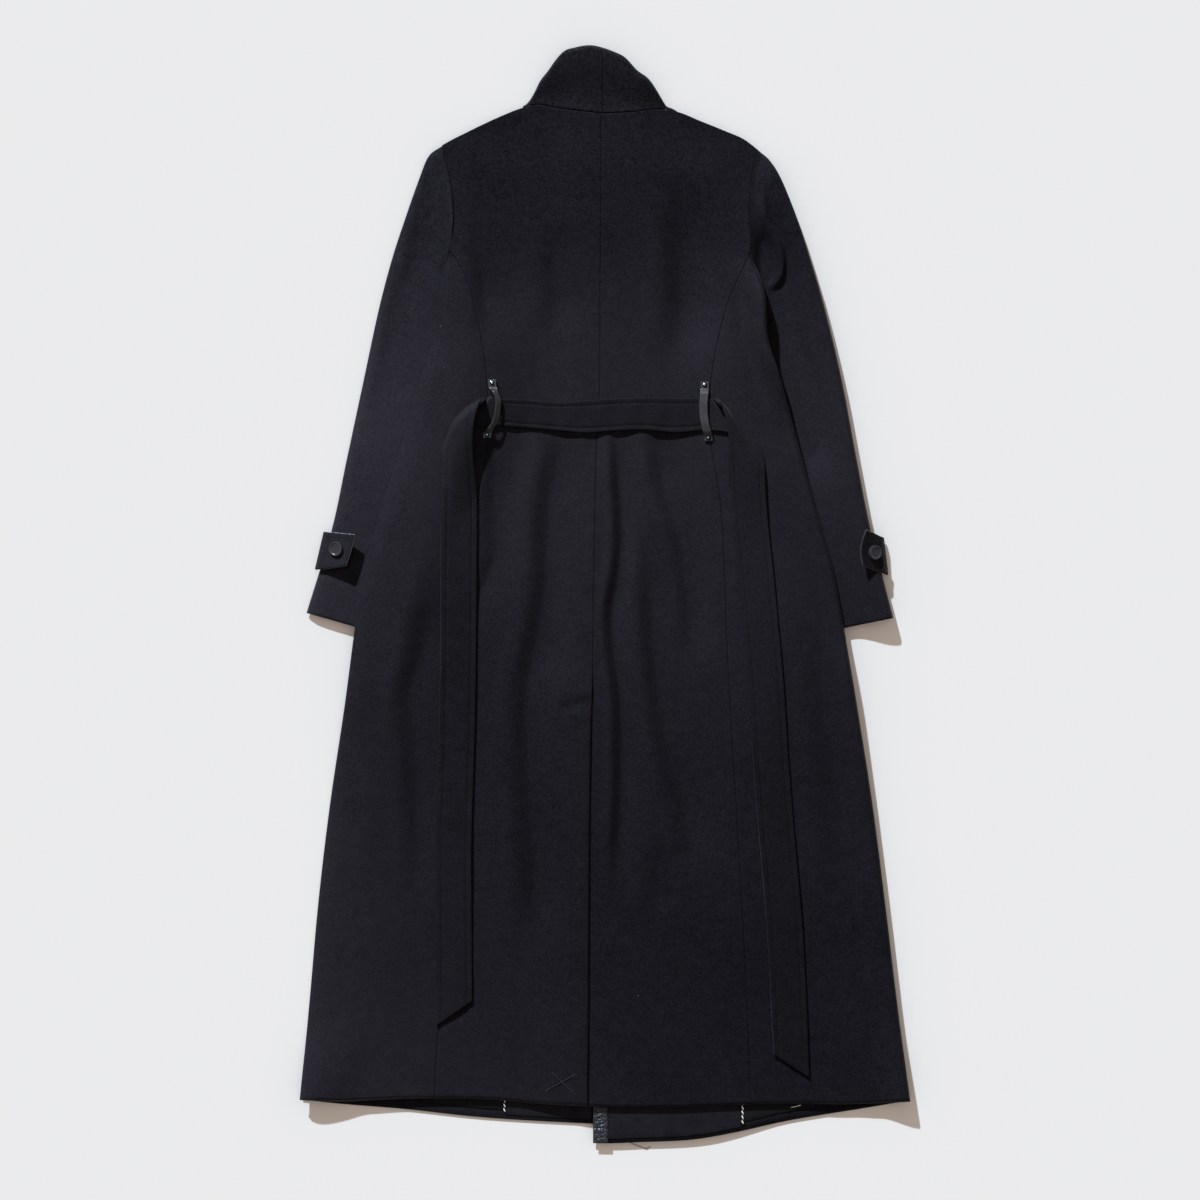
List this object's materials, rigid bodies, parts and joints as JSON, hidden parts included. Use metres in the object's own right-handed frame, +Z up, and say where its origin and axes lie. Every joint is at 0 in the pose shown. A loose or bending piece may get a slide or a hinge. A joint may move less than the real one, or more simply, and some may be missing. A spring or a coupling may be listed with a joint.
{
  "type": "wrap coat",
  "caption": "Long black wool wrap coat with funnel collar, tie belt in leather loops, back vent and buttoned cuff tabs, laid flat with its back upward.",
  "frame": {"origin": "middle of the coat's box on the surface it lies on", "axes": "+X to the right across the back as seen from above, +Y from hem to collar, +Z up off the surface"},
  "size_m": [0.7635, 1.3739, 0.037],
  "materials": {
    "wool": "matt black wool with a short nap",
    "lining": "black lining cloth with a low sheen",
    "leather": "smooth glossy black leather",
    "piping": "twisted black and off-white cord",
    "rivet": "nickel-plated rivet heads",
    "button": "dark horn-look button"
  },
  "bodies": {
    "root": {"front_left": "wool", "front_right": "wool", "facing_left": "wool", "facing_right": "wool", "back_center_left": "wool", "back_center_right": "wool", "back_side_left": "wool", "back_side_right": "wool", "collar_back_left": "wool", "collar_back_right": "wool", "collar_front_left": "wool", "collar_front_right": "wool", "sleeve_upper_left": "wool", "sleeve_upper_right": "wool", "sleeve_under_left": "wool", "sleeve_under_right": "wool", "cuff_tab_left": "wool", "cuff_tab_right": "wool", "belt_waist": "wool", "belt_tail_left": "wool", "belt_tail_right": "wool", "lining_left": "lining", "lining_right": "lining", "front_edge_binding": "leather", "belt_loop_left": "leather", "belt_loop_right": "leather", "piping_left": "piping", "piping_right": "piping", "rivet_left_top": "rivet", "rivet_left_low": "rivet", "rivet_right_top": "rivet", "rivet_right_low": "rivet", "button_left": "button", "button_right": "button"}
  },
  "joints": []
}
